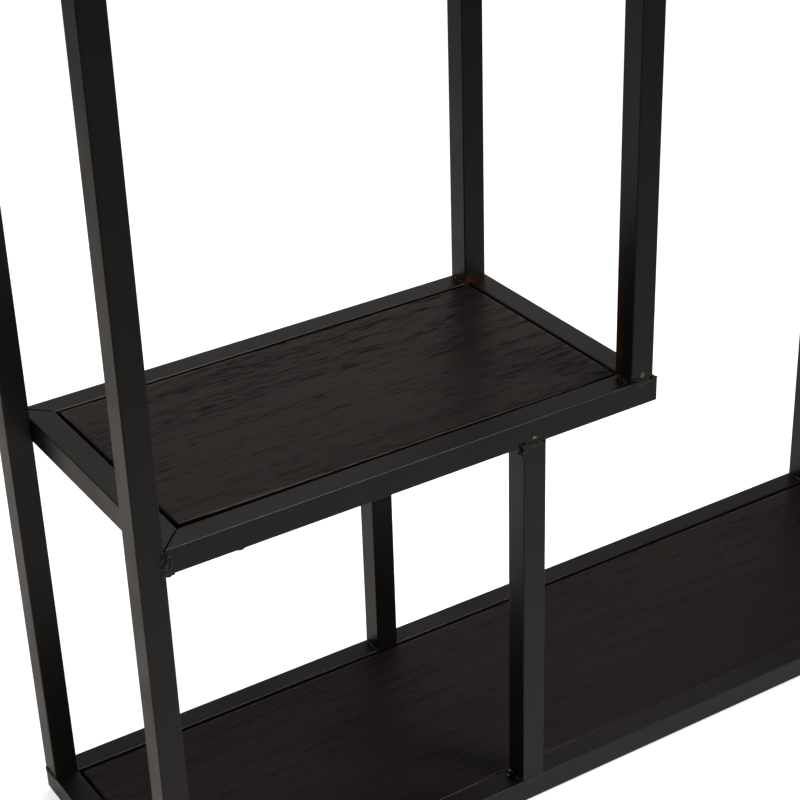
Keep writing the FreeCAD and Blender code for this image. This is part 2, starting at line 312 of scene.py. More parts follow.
def powder_coated_steel(name, finish, roughness_range, rust_spots):
    """Satin black polyester powder, sprayed and baked on to welded mild steel.

    It gives the eye a near black with a soft, broad sheen, the faint unevenness of orange peel,
    and a brown bloom where rust has bled through at a few of the welds. A rust spot is its middle,
    its reach along each axis and its strength.
    """
    material, tree = new_material(name)
    place = add_node(tree, "ShaderNodeTexCoord").outputs["Object"]
    # Orange peel is about 2.5 mm from crest to crest, and cloudy patches are about 45 mm
    peel = add_noise(tree, place, 2.5 * MM, detail=1.0)
    clouds = add_noise(tree, place, 45 * MM, detail=4.0)
    roughness = remap(tree, clouds, (0.35, 0.65), roughness_range)
    # Rust comes through in patches about 6 mm across
    patches = add_noise(tree, place, 6 * MM, detail=4.0)
    patchy = remap(tree, patches, (0.3, 0.6), (0.35, 1.0))
    colour = [*finish.coat]
    for middle, reach, strength in rust_spots:
        offset = calculate_vector(tree, "SUBTRACT", place, middle)
        shares = calculate_vector(tree, "DIVIDE", offset, reach)
        distance = calculate_vector(tree, "LENGTH", shares)
        bloom = remap(tree, distance, (0.15, 1.0), (strength, 0.0), "SMOOTHSTEP")
        cover = calculate(tree, "MULTIPLY", bloom, patchy)
        colour = mix_colours(tree, cover, colour, [*finish.rust])
    bump = add_node(tree, "ShaderNodeBump", {
        "Height": peel, "Strength": 0.25, "Distance": 0.05 * MM})
    give_surface(tree, {
        "Base Color": colour, "Roughness": roughness, "IOR": 1.5, "Specular IOR Level": 0.28,
        "Normal": bump})
    return material


def stained_oak_veneer(name, finish, figure):
    """Open-pored oak veneer, sliced flat, stained black-brown and sealed with a thin satin lacquer.

    It gives the eye soft, slightly wandering streaks along the shelf, with short dark pores in
    loose rows and a low sheen that the pores break up. The cut edges are coloured near-black, which
    paints the shade in the gap between board and frame, and a few specks of dust lie on the boards.
    The figure is painted stronger along the back, standing in for sheen. figure is how strongly the
    grain shows.
    """
    material, tree = new_material(name)
    place = add_node(tree, "ShaderNodeTexCoord").outputs["Object"]
    grain = place
    # The grain wanders by about 6 mm over 170 mm, and ripples by about 1 mm over 50 mm
    for length, width, sway in ((170, 75, 14), (50, 16, 2)):
        size = Vector((length, width, width)) * MM
        shares = calculate_vector(tree, "DIVIDE", place, size)
        wander = add_noise(tree, shares, 1.0, detail=1.0)
        aside = remap(tree, wander, (0.0, 1.0), (-sway * MM, sway * MM))
        offset = add_node(tree, "ShaderNodeCombineXYZ", {"Y": aside})
        grain = calculate_vector(tree, "ADD", grain, offset)
    # Growth rings show as streaks 7 mm apart and 130 mm long. Pores are 1.2 mm apart and 16 mm
    # long, drawn twice as wide as life so that they show. Flecks of hard fibre are 1 mm by 6 mm
    patterns = []
    for length, width, detail in ((130, 7, 1.0), (16, 1.2, 0.0), (6, 1.0, 1.0)):
        size = Vector((length, width, width)) * MM
        shares = calculate_vector(tree, "DIVIDE", grain, size)
        patterns.append(add_noise(tree, shares, 1.0, detail))
    streaks, pores, flecks = patterns
    # The figure is made strongest along the back: painted sheen, standing in for the sheen that
    # shows the grain more there
    depth = add_node(tree, "ShaderNodeSeparateXYZ", {"Vector": place}).outputs["Y"]
    figured = remap(tree, depth, (-100 * MM, 100 * MM), (0.6 * figure, 1.05 * figure))
    # Pores crowd together in the soft wood at the start of each ring
    crowding = remap(tree, streaks, (0.42, 0.56), (0.13, -0.04))
    opening = calculate(tree, "SUBTRACT", pores, crowding)
    pore_share = remap(tree, opening, (0.28, 0.37), (1.0, 0.0), "SMOOTHSTEP")
    pore_shade = calculate(tree, "MULTIPLY", pore_share, figured, use_clamp=True)
    streak_swing = remap(tree, streaks, (0.35, 0.65), (-0.5, 0.5))
    streak_share = calculate(tree, "MULTIPLY_ADD", streak_swing, figured, 0.5, use_clamp=True)
    streaked = mix_colours(tree, streak_share, [*finish.stain], [*finish.ridges])
    fleck_shade = remap(tree, flecks, (0.3, 0.7), (0.85, 1.15))
    flecked = add_node(tree, "ShaderNodeHueSaturation", {"Color": streaked, "Value": fleck_shade})
    pored = mix_colours(tree, pore_shade, flecked, [*finish.pores])
    # Specks of dust are about 1 mm across
    apart = 28 * MM
    lint = add_node(tree, "ShaderNodeTexVoronoi", {"Vector": place, "Scale": 1 / apart})
    speck = remap(tree, lint, (0.4 * MM / apart, 0.7 * MM / apart), (0.3, 0.0))
    dusted = mix_colours(tree, speck, pored, [*finish.dust])
    # A face that doesn't look up or down is a cut edge. Its near-black is painted shade for the gap
    # between board and frame
    facing = add_node(tree, "ShaderNodeNewGeometry").outputs["True Normal"]
    tilt = add_node(tree, "ShaderNodeSeparateXYZ", {"Vector": facing}).outputs["Z"]
    upright = calculate(tree, "ABSOLUTE", tilt)
    gap_shade_share = remap(tree, upright, (0.8, 0.95), (1.0, 0.0))
    colour = mix_colours(tree, gap_shade_share, dusted, [*finish.edges])
    roughness = remap(tree, pore_shade, (0.0, 1.0), (0.32, 0.88))
    bump = add_node(tree, "ShaderNodeBump", {
        "Height": pore_shade, "Strength": 0.3, "Distance": 0.08 * MM}, invert=True)
    give_surface(tree, {
        "Base Color": colour, "Roughness": roughness, "IOR": 1.5, "Specular IOR Level": 0.16,
        "Normal": bump})
    return material


def black_oxide_steel(finish):
    """Cold-headed steel screws, chemically blackened and oiled.

    It gives the eye a dark metal with a soft shine and small scuffs.
    """
    material, tree = new_material("black_oxide_steel")
    place = add_node(tree, "ShaderNodeTexCoord").outputs["Object"]
    # Scuffs from the driver are about 0.8 mm
    scuffs = add_noise(tree, place, 0.8 * MM, detail=2.0)
    roughness = remap(tree, scuffs, (0.3, 0.7), (0.3, 0.5))
    give_surface(tree, {
        "Base Color": [*finish.screws], "Roughness": roughness, "Metallic": 1.0})
    return material


def bare_weld_steel(finish):
    """Weld drops with their powder knocked off.

    It gives the eye small pale glints of dull steel.
    """
    material, tree = new_material("bare_weld_steel")
    give_surface(tree, {"Base Color": [*finish.bare], "Roughness": 0.35, "Metallic": 1.0})
    return material


def painted_crevice_shade(finish):
    """Painted shade: a dull black for the pits, notches and cracks of the welds and for the open
    mitres.

    It gives the eye dull black specks and lines.
    """
    material, tree = new_material("painted_crevice_shade")
    give_surface(tree, {
        "Base Color": [*finish.crevice_shade], "Roughness": 0.9, "Specular IOR Level": 0.05})
    return material


def pressed_wool_felt(finish):
    """Grey wool felt, pressed and punched into discs.

    It gives the eye a dull, fibrous grey with no shine.
    """
    material, tree = new_material("pressed_wool_felt")
    place = add_node(tree, "ShaderNodeTexCoord").outputs["Object"]
    # Fibres show as tangles about 0.5 mm across
    fibres = add_noise(tree, place, 0.5 * MM, detail=4.0, distortion=1.5)
    shade = remap(tree, fibres, (0.0, 1.0), (0.5, 1.5))
    tone = add_node(tree, "ShaderNodeHueSaturation", {"Color": [*finish.felt], "Value": shade})
    bump = add_node(tree, "ShaderNodeBump", {
        "Height": fibres, "Strength": 0.8, "Distance": 0.3 * MM})
    give_surface(tree, {
        "Base Color": tone, "Roughness": 0.95, "Sheen Weight": 0.3, "Normal": bump})
    return material


def white_paper_floor(stage):
    """Seamless white paper, which shows white to the eye and keeps a shadow.

    It gives the eye an even white, and reflections a painted pool of light: a white glow that
    fades away from the bookcase.
    """
    material, tree = new_material("white_paper_floor")
    path = add_node(tree, "ShaderNodeLightPath")
    mirrored = calculate(
        tree, "MAXIMUM", path.outputs["Is Glossy Ray"], path.outputs["Is Transmission Ray"])
    place = add_node(tree, "ShaderNodeTexCoord").outputs["Object"]
    # A painted pool of light: in reflections the floor glows warm white near the bookcase and fades
    # with distance
    offset = calculate_vector(tree, "DISTANCE", place, stage.pool_middle)
    pool = remap(tree, offset, (stage.pool_radius, POOL_FADE * stage.pool_radius),
                 (stage.painted_pool_glow, 0.0), "SMOOTHSTEP")
    pooled = calculate(tree, "MULTIPLY", mirrored, pool)
    seen = calculate(tree, "MULTIPLY_ADD", path.outputs["Is Camera Ray"], stage.floor_glow, pooled)
    paper = add_node(tree, "ShaderNodeBsdfDiffuse", {"Color": [*stage.paper]})
    tint = mix_colours(tree, mirrored, linear("#ffffff"), [*stage.wall_tint])
    light = add_node(tree, "ShaderNodeEmission", {"Color": tint, "Strength": seen})
    both = add_node(tree, "ShaderNodeAddShader", {0: paper, 1: light})
    add_node(tree, "ShaderNodeOutputMaterial", {"Surface": both})
    return material


def put_on(node_names, material):
    """Give CAD nodes one material all over."""
    for name in node_names:
        for slot in NODES[name].material_slots:
            slot.material = material


def solids_of(node_name):
    """Vertex positions of each separate solid in a CAD node, in the order of its mesh."""
    joined = bmesh.new()
    joined.from_mesh(NODES[node_name].data)
    bmesh.ops.remove_doubles(joined, verts=joined.verts, dist=SAME_POINT)
    found = set()
    solids = []
    for first in joined.verts:
        if first in found:
            continue
        found.add(first)
        waiting = [first]
        points = []
        while waiting:
            vertex = waiting.pop()
            points.append(vertex.co.copy())
            for edge in vertex.link_edges:
                other = edge.other_vert(vertex)
                if other not in found:
                    found.add(other)
                    waiting.append(other)
        solids.append(points)
    joined.free()
    return solids


def box_of(points):
    """Lowest and highest corner of some points."""
    low = Vector(min(p[axis] for p in points) for axis in range(3))
    high = Vector(max(p[axis] for p in points) for axis in range(3))
    return low, high


def new_object(name, data):
    """Put a mesh, a lamp or a camera in the scene."""
    made = bpy.data.objects.new(name, data)
    bpy.context.scene.collection.objects.link(made)
    return made


def new_mesh_object(name, mesh, material):
    """Turn a bmesh into an object of one material."""
    data = bpy.data.meshes.new(name)
    mesh.to_mesh(data)
    mesh.free()
    data.materials.append(material)
    return new_object(name, data)


def new_piece(name, mesh, material, slot, *nodes):
    """Turn a bmesh into a smooth piece that rides on the frame and stands for CAD nodes."""
    bmesh.ops.recalc_face_normals(mesh, faces=mesh.faces)
    piece = new_mesh_object(name, mesh, material)
    piece.data.shade_smooth()
    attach(piece, "root")
    if nodes:
        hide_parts(*nodes)


def stitch(mesh, rows, closed=False):
    """Faces between neighbouring rows of vertices, which have the same number of points."""
    for row, following in zip(rows, rows[1:]):
        count = len(row)
        for place in range(count if closed else count - 1):
            after = (place + 1) % count
            mesh.faces.new((row[place], row[after], following[after], following[place]))


def lay_fillet_bead(mesh, corner, along, legs, length, leg, ripple_spacing, dice):
    """One run of weld in an inside corner, rippled, uneven and rounded off at both ends.

    corner is the middle of the corner's line, along its direction, and legs are the two unit
    vectors that lead from the line out across the faces that the bead joins.
    """
    stations = round(length / BEAD_STEP)
    steps = 8
    start = dice.uniform(0, 100)
    rows = []
    for station in range(stations + 1):
        share = 2 * station / stations - 1
        place = share * length / 2
        rounded = max(0.15, 1 - share ** 8) ** 0.5
        swell = 1 + 0.35 * noise.noise((place / (5 * MM), start, 0))
        ripple = 1 + 0.10 * abs(math.sin(math.pi * place / ripple_spacing + start))
        row = []
        for step in range(steps + 1):
            turn = math.pi / 2 * step / steps
            lump = 1 + 0.22 * noise.noise((place / (1.8 * MM), 2 * turn, start))
            reach = leg * rounded * swell * ripple * lump
            point = corner + along * place
            point = point + legs[0] * (reach * math.cos(turn) ** 1.5 - BEAD_SINK)
            point = point + legs[1] * (reach * math.sin(turn) ** 1.5 - BEAD_SINK)
            row.append(mesh.verts.new(point))
        row.append(mesh.verts.new(corner + along * place - (legs[0] + legs[1]) * BEAD_SINK))
        rows.append(row)
    stitch(mesh, rows, closed=True)
    mesh.faces.new(rows[0])
    mesh.faces.new(rows[-1])


def lay_sheet(mesh, centre, along, across, outward, size, step, height_at):
    """A sheet of weld over two faces that lie in one plane.

    size is its length and width, and step is the spacing of its points. height_at gives its height
    over the faces at u along and v across, which both run from -1 to 1.
    """
    length, width = size
    columns = round(length / step)
    lines = round(width / step)
    rows = []
    for line in range(lines + 1):
        v = 2 * line / lines - 1
        row = []
        for column in range(columns + 1):
            u = 2 * column / columns - 1
            point = centre + along * (u * length / 2) + across * (v * width / 2)
            row.append(mesh.verts.new(point + outward * height_at(u, v)))
        rows.append(row)
    stitch(mesh, rows)


def lay_seam(mesh, centre, along, outward, size, roughness, dice):
    """A low pad of weld over a butt seam, its edges dipping under the faces.

    size is its length, width and rise. roughness is the share of the rise that comes and goes.
    """
    length, width, rise = size
    start = dice.uniform(0, 100)

    def height_at(u, v):
        ragged = 1 + 0.5 * noise.noise((u * length / (4 * MM), v * 2, start))
        crown = max(0.0, 1 - abs(u) ** 5) * max(0.0, 1 - abs(v * ragged) ** 2.2)
        lumps = noise.noise((u * length / (3.4 * MM), v * width / (3.4 * MM), start))
        pits = noise.noise((u * length / (1.5 * MM), v * width / (1.5 * MM), start))
        height = rise * crown * (1 + roughness * (lumps + 0.5 * pits))
        return height - SEAM_SINK * (1 - min(1.0, 2 * crown))

    across = outward.cross(along)
    lay_sheet(mesh, centre, along, across, outward, (length, width), SEAM_STEP, height_at)


def lay_scales(mesh, centre, along, across, outward, size, scale_spacing, dice):
    """An upright seam left as it was welded, its upper end still open.

    across leads from the post to the rail. The weld fans out in scales over the rail, and the crack
    at its upper end shows the gap between the two. size is its length, width and rise.
    """
    length, width, rise = size
    start = dice.uniform(0, 100)

    def height_at(u, v):
        drift = noise.noise((u * length / (6 * MM), v * 1.5, start))
        # The weld is widest low down, where it sagged before it froze
        spread = (0.85 - 0.15 * u) * (1 + 0.3 * drift)
        crown = max(0.0, 1 - abs(u) ** 4) * max(0.0, 1 - abs(v / spread) ** 2)
        ring = math.hypot(v * width / 2, (u - 0.3) * length / 2) / scale_spacing
        scale = math.sin(2 * math.pi * (ring + 0.4 * drift))
        lumps = noise.noise((u * length / (5 * MM), v * width / (5 * MM), start + 7))
        height = rise * crown * (0.7 + (0.12 + 0.16 * v) * scale + 0.5 * lumps)
        # The crack opens towards its upper end
        gape = max(0.0, u - 0.1) * 2.2 * MM
        crack = abs(v - 0.15 * drift) * width / 2
        if crack < gape:
            height *= (crack / gape) ** 2
        return height - SCALES_SINK * (1 - min(1.0, 3 * height / rise))

    lay_sheet(mesh, centre, along, across, outward, (length, width), SCALES_STEP, height_at)


def add_blob(mesh, centre, radii, dice):
    """A rounded drop of weld, a little out of shape."""
    start = dice.uniform(0, 100)
    made = bmesh.ops.create_icosphere(mesh, subdivisions=2, radius=1)
    for vertex in made["verts"]:
        wobble = 1 + 0.2 * noise.noise(vertex.co * 1.6 + Vector((start, 0, 0)))
        vertex.co = centre + Vector(c * r * wobble for c, r in zip(vertex.co, radii))


def scatter_drops(mesh, corner, reach, count, size, dice):
    """Drops strewn about a corner. reach is the least and the most millimetres along each axis."""
    for _ in range(count):
        offset = Vector(dice.uniform(least, most) * MM for least, most in reach)
        radius = size * dice.uniform(0.6, 1.2)
        add_blob(mesh, corner + offset, (radius, 0.8 * radius, radius), dice)


def lay_bead_solids(mesh, node_name, leg, ripple_spacing, dice):
    """A modelled bead over each plain bead solid of a CAD node."""
    for points in solids_of(node_name):
        low, high = box_of(points)
        middle = (low + high) / 2
        mean = sum(points, Vector()) / len(points)
        across = RIGHT if mean.x > middle.x else LEFT
        upright = UP if mean.z > middle.z else DOWN
        corner = Vector((
            low.x if across is RIGHT else high.x, middle.y, low.z if upright is UP else high.z))
        lay_fillet_bead(mesh, corner, BACKWARD, (across, upright), high.y - low.y, leg,
                        ripple_spacing, dice)


class BOOKCASE_OT_coat_frame(bpy.types.Operator):
    """Powder-coat the posts, the rails and the lugs"""

    bl_idname = "bookcase.coat_frame"
    bl_label = "Coat Frame"

    def execute(self, context):
        finish = context.scene.bookcase_finish
        # Each spot is written as its middle, its reach in millimetres and its strength
        rust_spots = []
        for bay in RUSTED_BAYS:
            # Along the lowest edges of the back post's foot, most at its inner corner
            low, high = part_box(f"bay_{bay}_back_post")
            middle = (low + high) / 2
            for place, reach, strength in (
                    ((low.x + 4 * MM, low.y, low.z + 2 * MM), (9, 6, 8), 1.0),
                    ((middle.x, low.y, low.z), (16, 4, 14), 0.5),
                    ((high.x, low.y, low.z + 3 * MM), (5, 4, 9), 0.9),
                    ((low.x, middle.y, low.z), (3, 16, 14), 0.5)):
                rust_spots.append((place, Vector(reach) * MM, strength))
            # Up the hidden edge of the front post, and on the rail behind its foot
            low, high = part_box(f"bay_{bay}_front_post")
            for place, reach, strength in (
                    ((low.x, high.y, low.z + 25 * MM), (6, 12, 34), 1.0),
                    ((low.x, high.y, low.z + 60 * MM), (6, 13, 130), 0.6),
                    ((low.x + 6 * MM, high.y + 11 * MM, low.z), (8, 10, 6), 1.0)):
                rust_spots.append((place, Vector(reach) * MM, strength))
        steel = powder_coated_steel("powder_coated_steel", finish, TUBE_ROUGHNESS, rust_spots)
        put_on([n for n in NODES if n.endswith(("_post", "_rail", "_lugs"))], steel)
        # The welds are given this one when they are laid
        powder_coated_steel("powder_coated_weld", finish, WELD_ROUGHNESS, rust_spots)
        return {"FINISHED"}


class BOOKCASE_OT_lay_boards(bpy.types.Operator):
    """Lay the six veneered boards in their frames"""

    bl_idname = "bookcase.lay_boards"
    bl_label = "Lay Boards"

    def execute(self, context):
        finish = context.scene.bookcase_finish
        boards = context.scene.bookcase_boards
        figured = stained_oak_veneer("stained_oak_veneer", finish, FULL_FIGURE)
        plain = stained_oak_veneer("stained_oak_veneer_plain", finish, PLAIN_FIGURE)
        dice = random.Random(BOARD_SEED)
        for shelf in sorted(SHELVES):
            node_name = f"{shelf}_panel"
            fit = [Vector((dice.uniform(-1, 1), dice.uniform(-1, 1), dice.random()))
                   * boards.play for _ in range(4)]
            if shelf in UNEVEN_FITS:
                fit = [Vector(corner) * MM for corner in UNEVEN_FITS[shelf]]
            mesh = bmesh.new()
            self.add_board(mesh, *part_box(node_name), boards.edge, fit)
            new_piece(f"{shelf}_board", mesh, plain if shelf == "bottom_shelf" else figured,
                      "stained_veneer", node_name)
        return {"FINISHED"}

    def add_board(self, mesh, low, high, edge, fit):
        """A board with sanded edges, its corners moved by fit."""
        # Rings round the board from its underside to its top: inset, and height
        rings = [(edge, low.z), (0, low.z + edge), (0, high.z - edge),
                 (0.3 * edge, high.z - 0.3 * edge), (edge, high.z), (4 * edge, high.z)]
        steps_a_side = 12
        rows = []
        for inset, level in rings:
            corners = [(low.x + inset, low.y + inset), (high.x - inset, low.y + inset),
                       (high.x - inset, high.y - inset), (low.x + inset, high.y - inset)]
            row = []
            for start, end in zip(corners, corners[1:] + corners[:1]):
                for step in range(steps_a_side):
                    x = start[0] + (end[0] - start[0]) * step / steps_a_side
                    y = start[1] + (end[1] - start[1]) * step / steps_a_side
                    across = (x - low.x) / (high.x - low.x)
                    back = (y - low.y) / (high.y - low.y)
                    front_shift = fit[0].lerp(fit[1], across)
                    back_shift = fit[2].lerp(fit[3], across)
                    place = Vector((x, y, level)) + front_shift.lerp(back_shift, back)
                    row.append(mesh.verts.new(place))
            rows.append(row)
        stitch(mesh, rows, closed=True)
        mesh.faces.new(rows[0])
        mesh.faces.new(rows[-1])


class BOOKCASE_OT_weld_frame(bpy.types.Operator):
    """Lay the weld beads and seams, leave the drops of the welding, and paint the shade in its pits
    and along the open mitres
    """

    bl_idname = "bookcase.weld_frame"
    bl_label = "Weld Frame"

    def execute(self, context):
        finish = context.scene.bookcase_finish
        welds = context.scene.bookcase_welds
        coat = bpy.data.materials["powder_coated_weld"]
        dice = random.Random(WELD_SEED)
        mesh = bmesh.new()
        lay_bead_solids(mesh, "front_weld_beads", welds.leg, welds.ripple, dice)
        self.dress_front_seams(mesh, welds, dice)
        self.leave_end_seams(mesh, welds, dice)
        self.leave_lumps(mesh, welds.spatter, dice)
        new_piece("front_welds", mesh, coat, "black_steel", "front_weld_beads")
        mesh = bmesh.new()
        lay_bead_solids(mesh, "back_weld_beads", welds.back_leg, welds.ripple, dice)
        self.close_side_seams(mesh, welds, dice)
        new_piece("back_welds", mesh, coat, "black_steel", "back_weld_beads")
        mesh = bmesh.new()
        self.leave_bare_drops(mesh, welds.spatter, dice)
        new_piece("bare_weld_drops", mesh, bare_weld_steel(finish), "black_steel")
        # Near-black specks and strips of painted shade in the weld crevices and along the open
        # mitres
        mesh = bmesh.new()
        self.leave_crevice_shade(mesh, welds.spatter, dice)
        self.shade_mitres(mesh, welds.mitre_shade_width, dice)
        new_piece("weld_crevice_shade", mesh, painted_crevice_shade(finish), "black_steel")
        return {"FINISHED"}

    def dress_front_seams(self, mesh, welds, dice):
        """Seams across the feet and heads of the front posts, ground back almost flush."""
        for name in FRONT_SHORT_POSTS + OUTER_POSTS[:2]:
            low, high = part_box(name)
            for level in (low.z, high.z):
                centre = Vector(((low.x + high.x) / 2, low.y, level))
                size = (high.x - low.x - FRONT_SEAM_SHORT, welds.seam_width, welds.seam_rise)
                lay_seam(mesh, centre, RIGHT, FORWARD, size, roughness=0.8, dice=dice)

    def leave_end_seams(self, mesh, welds, dice):
        """Upright seams where a half-width shelf meets an outer post, left as they were welded."""
        for shelf, side in SHELF_ENDS:
            low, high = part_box(f"{shelf}_front_rail")
            edge = low.x if side is LEFT else high.x
            height = high.z - low.z
            centre = Vector((edge, low.y, low.z + 0.45 * height))
            lay_scales(mesh, centre, UP, -side, FORWARD,
                       (height, welds.lump_width, welds.lump_rise), welds.scale, dice)
            # A run of powder that dried on the rail's lower edge
            run = Vector((edge - side.x * dice.uniform(55, 75) * MM, low.y + 1 * MM, low.z))
            add_blob(mesh, run, (3.0 * MM, 1.2 * MM, 0.8 * MM), dice)

    def leave_lumps(self, mesh, drop, dice):
        """Coated lumps at the left corners of the front posts' heads, and about their feet."""
        for name in FRONT_SHORT_POSTS:
            low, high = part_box(name)
            head = Vector((low.x, low.y, high.z))
            scatter_drops(mesh, head, ((-0.6, 0.3), (0.0, 8.0), (-8.0, 0.0)), 10, 1.2 * drop, dice)
            scatter_drops(mesh, head, ((-5.0, 2.0), (-0.2, 0.3), (0.0, 4.5)), 7, drop, dice)
            if name in HEAPED_FEET:
                heap = Vector((low.x, high.y, low.z))
                scatter_drops(mesh, heap, ((-2.5, 0.5), (-7.0, -3.0), (0.5, 3.5)), 4, 2.0 * drop,
                              dice)
            else:
                scatter_drops(mesh, low, ((0.0, 4.0), (-0.3, 0.4), (0.0, 5.0)), 4, drop, dice)

    def leave_bare_drops(self, mesh, drop, dice):
        """Drops with their powder knocked off, over the heads and about the feet."""
        for name in FRONT_SHORT_POSTS:
            low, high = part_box(name)
            middle = (low.x + high.x) / 2
            over_head = Vector((middle - 0.4 * drop, low.y, high.z + 4.2 * drop))
            add_blob(mesh, over_head, (2.2 * drop, 0.6 * drop, 1.0 * drop), dice)
            if name in HEAPED_FEET:
                heap = Vector((low.x, high.y, low.z))
                on_heap = heap + Vector((-3.4, -6.0, 4.2)) * MM
                add_blob(mesh, on_heap, (1.4 * drop, 1.2 * drop, 2.0 * drop), dice)
                scatter_drops(mesh, heap, ((-6.5, -4.5), (-8.5, -6.0), (0.8, 2.4)), 3, 1.3 * drop,
                              dice)
            else:
                on_foot = Vector((middle, low.y, low.z + 4.6 * drop))
                add_blob(mesh, on_foot, (1.7 * drop, 0.4 * drop, 1.7 * drop), dice)
                beside = Vector((low.x, (low.y + high.y) / 2, low.z))
                scatter_drops(mesh, beside, ((-5.0, -1.5), (0.0, 5.0), (0.0, 1.2)), 3, drop, dice)

    def leave_crevice_shade(self, mesh, drop, dice):
        """Near-black specks of painted shade in the pits among the lumps, the notches at the posts'
        right edges, beside heaps and under the end seams.
        """
        for name in FRONT_SHORT_POSTS:
            low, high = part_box(name)
            head = Vector((low.x, low.y, high.z))
            scatter_drops(mesh, head, ((-1.3, -0.7), (0.0, 7.0), (-8.0, 0.0)), 6, 0.7 * drop, dice)
            scatter_drops(mesh, head, ((-4.5, 1.0), (-0.8, -0.3), (0.0, 4.0)), 5, 0.6 * drop, dice)
            if name in HEAPED_FEET:
                scatter_drops(mesh, low, ((-6.0, -2.0), (4.0, 15.0), (0.0, 0.4)), 4, drop, dice)
                foot_notch = Vector((low.x - 1.6 * drop, high.y - 6.0 * drop, low.z))
            else:
                scatter_drops(mesh, low, ((0.5, 5.0), (-0.5, 0.0), (0.5, 5.0)), 4, 0.7 * drop, dice)
                foot_notch = Vector((high.x - 1.6 * drop, low.y, low.z + 0.6 * drop))
            head_notch = Vector((high.x - 1.6 * drop, low.y, high.z - 0.2 * drop))
            for notch in (foot_notch, head_notch):
                add_blob(mesh, notch, (1.5 * drop, 0.4 * drop, 0.9 * drop), dice)
        for shelf, side in SHELF_ENDS:
            low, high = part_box(f"{shelf}_front_rail")
            edge = low.x if side is LEFT else high.x
            under = Vector((edge - side.x * 1.4 * drop, low.y + 0.6 * drop, low.z - 0.2 * drop))
            add_blob(mesh, under, (1.9 * drop, 1.0 * drop, 1.4 * drop), dice)

    def shade_mitres(self, mesh, width, dice):
        """Painted shade along the open mitres on top of the shelf frames: a thin near-black strip
        over each gap.
        """
        for shelf in SHELVES:
            front_low, front_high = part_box(f"{shelf}_front_rail")
            back_low, back_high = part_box(f"{shelf}_back_rail")
            left_low, left_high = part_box(f"{shelf}_left_rail")
            right_low, right_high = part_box(f"{shelf}_right_rail")
            for outer_x, inner_x in ((left_low.x, left_high.x), (right_high.x, right_low.x)):
                for outer_y, inner_y in ((front_low.y, front_high.y), (back_high.y, back_low.y)):
                    outer = Vector((outer_x, outer_y, front_high.z))
                    inner = Vector((inner_x, inner_y, front_high.z))
                    seam = inner - outer
                    size = (seam.length, width, MITRE_SHADE_RISE)
                    lay_seam(mesh, (outer + inner) / 2, seam.normalized(), UP, size,
                             roughness=0.5, dice=dice)

    def close_side_seams(self, mesh, welds, dice):
        """Seams across the outer sides of the outer posts' feet and heads, left a little proud."""
        for name in OUTER_POSTS:
            low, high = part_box(name)
            side = LEFT if low.x < 0 else RIGHT
            edge = low.x if side is LEFT else high.x
            for level in (low.z, high.z):
                centre = Vector((edge, (low.y + high.y) / 2, level))
                size = (high.y - low.y - SIDE_SEAM_SHORT, 0.7 * welds.seam_width, welds.lump_rise)
                lay_seam(mesh, centre, BACKWARD, side, size, roughness=0.5, dice=dice)


class BOOKCASE_OT_drive_screws(bpy.types.Operator):
    """Drive a screw up through each lug into its panel"""

    bl_idname = "bookcase.drive_screws"
    bl_label = "Drive Screws"

    def execute(self, context):
        fixings = context.scene.bookcase_fixings
        dice = random.Random(SCREW_SEED)
        mesh = bmesh.new()
        for node_name in NODES:
            if not node_name.endswith("_lugs"):
                continue
            for points in solids_of(node_name):
                low, high = box_of(points)
                # A lug stands on the inner face of the front or the back rail
                front = low.y + high.y < 0
                axis_y = low.y + fixings.screw_reach if front else high.y - fixings.screw_reach
                seat = Vector(((low.x + high.x) / 2, axis_y, low.z))
                self.add_head(mesh, seat, fixings, dice.uniform(0, math.pi))
        new_piece("cross_recess_screws", mesh, black_oxide_steel(context.scene.bookcase_finish),
                  "black_steel")
        return {"FINISHED"}

    def add_head(self, mesh, seat, fixings, turn):
        """A pan head with a cross recess, head down, its flat side on the lug at seat."""
        segments = 32
        reach = fixings.recess_width / 2
        slot = fixings.recess_slot / 2
        crown = seat.z - fixings.head_height
        # Half outline from the crown to the rim and up to the lug, in shares of radius and height
        profile = [(0.55, 0.0), (0.78, 0.06), (0.93, 0.16), (1.0, 0.32), (1.0, 0.92), (0.96, 1.0)]
        rows = []
        for share, level in profile:
            radius = fixings.head_width / 2 * share
            rows.append([
                mesh.verts.new((
                    seat.x + radius * math.cos(2 * math.pi * s / segments + turn),
                    seat.y + radius * math.sin(2 * math.pi * s / segments + turn),
                    crown + fixings.head_height * level))
                for s in range(segments)])
        stitch(mesh, rows, closed=True)
        # The recess: a cross-shaped pit, its floor smaller than its mouth
        pit = []
        for scale, depth in ((1.0, 0.0), (0.6, 1.0)):
            ring = []
            for quarter in range(4):
                turned = Matrix.Rotation(quarter * math.pi / 2 + turn, 3, "Z")
                for x, y in ((reach, -slot), (reach, slot), (slot, slot)):
                    place = turned @ Vector((x, y, 0))
                    ring.append(mesh.verts.new((
                        seat.x + place.x * scale, seat.y + place.y * scale,
                        crown + fixings.recess_depth * depth)))
            pit.append(ring)
        stitch(mesh, pit, closed=True)
        mesh.faces.new(pit[1])
        rim = [mesh.edges.get((a, b)) for a, b in zip(rows[0], rows[0][1:] + rows[0][:1])]
        mouth = [mesh.edges.get((a, b)) for a, b in zip(pit[0], pit[0][1:] + pit[0][:1])]
        bmesh.ops.triangle_fill(mesh, edges=rim + mouth, use_beauty=True, use_dissolve=False)


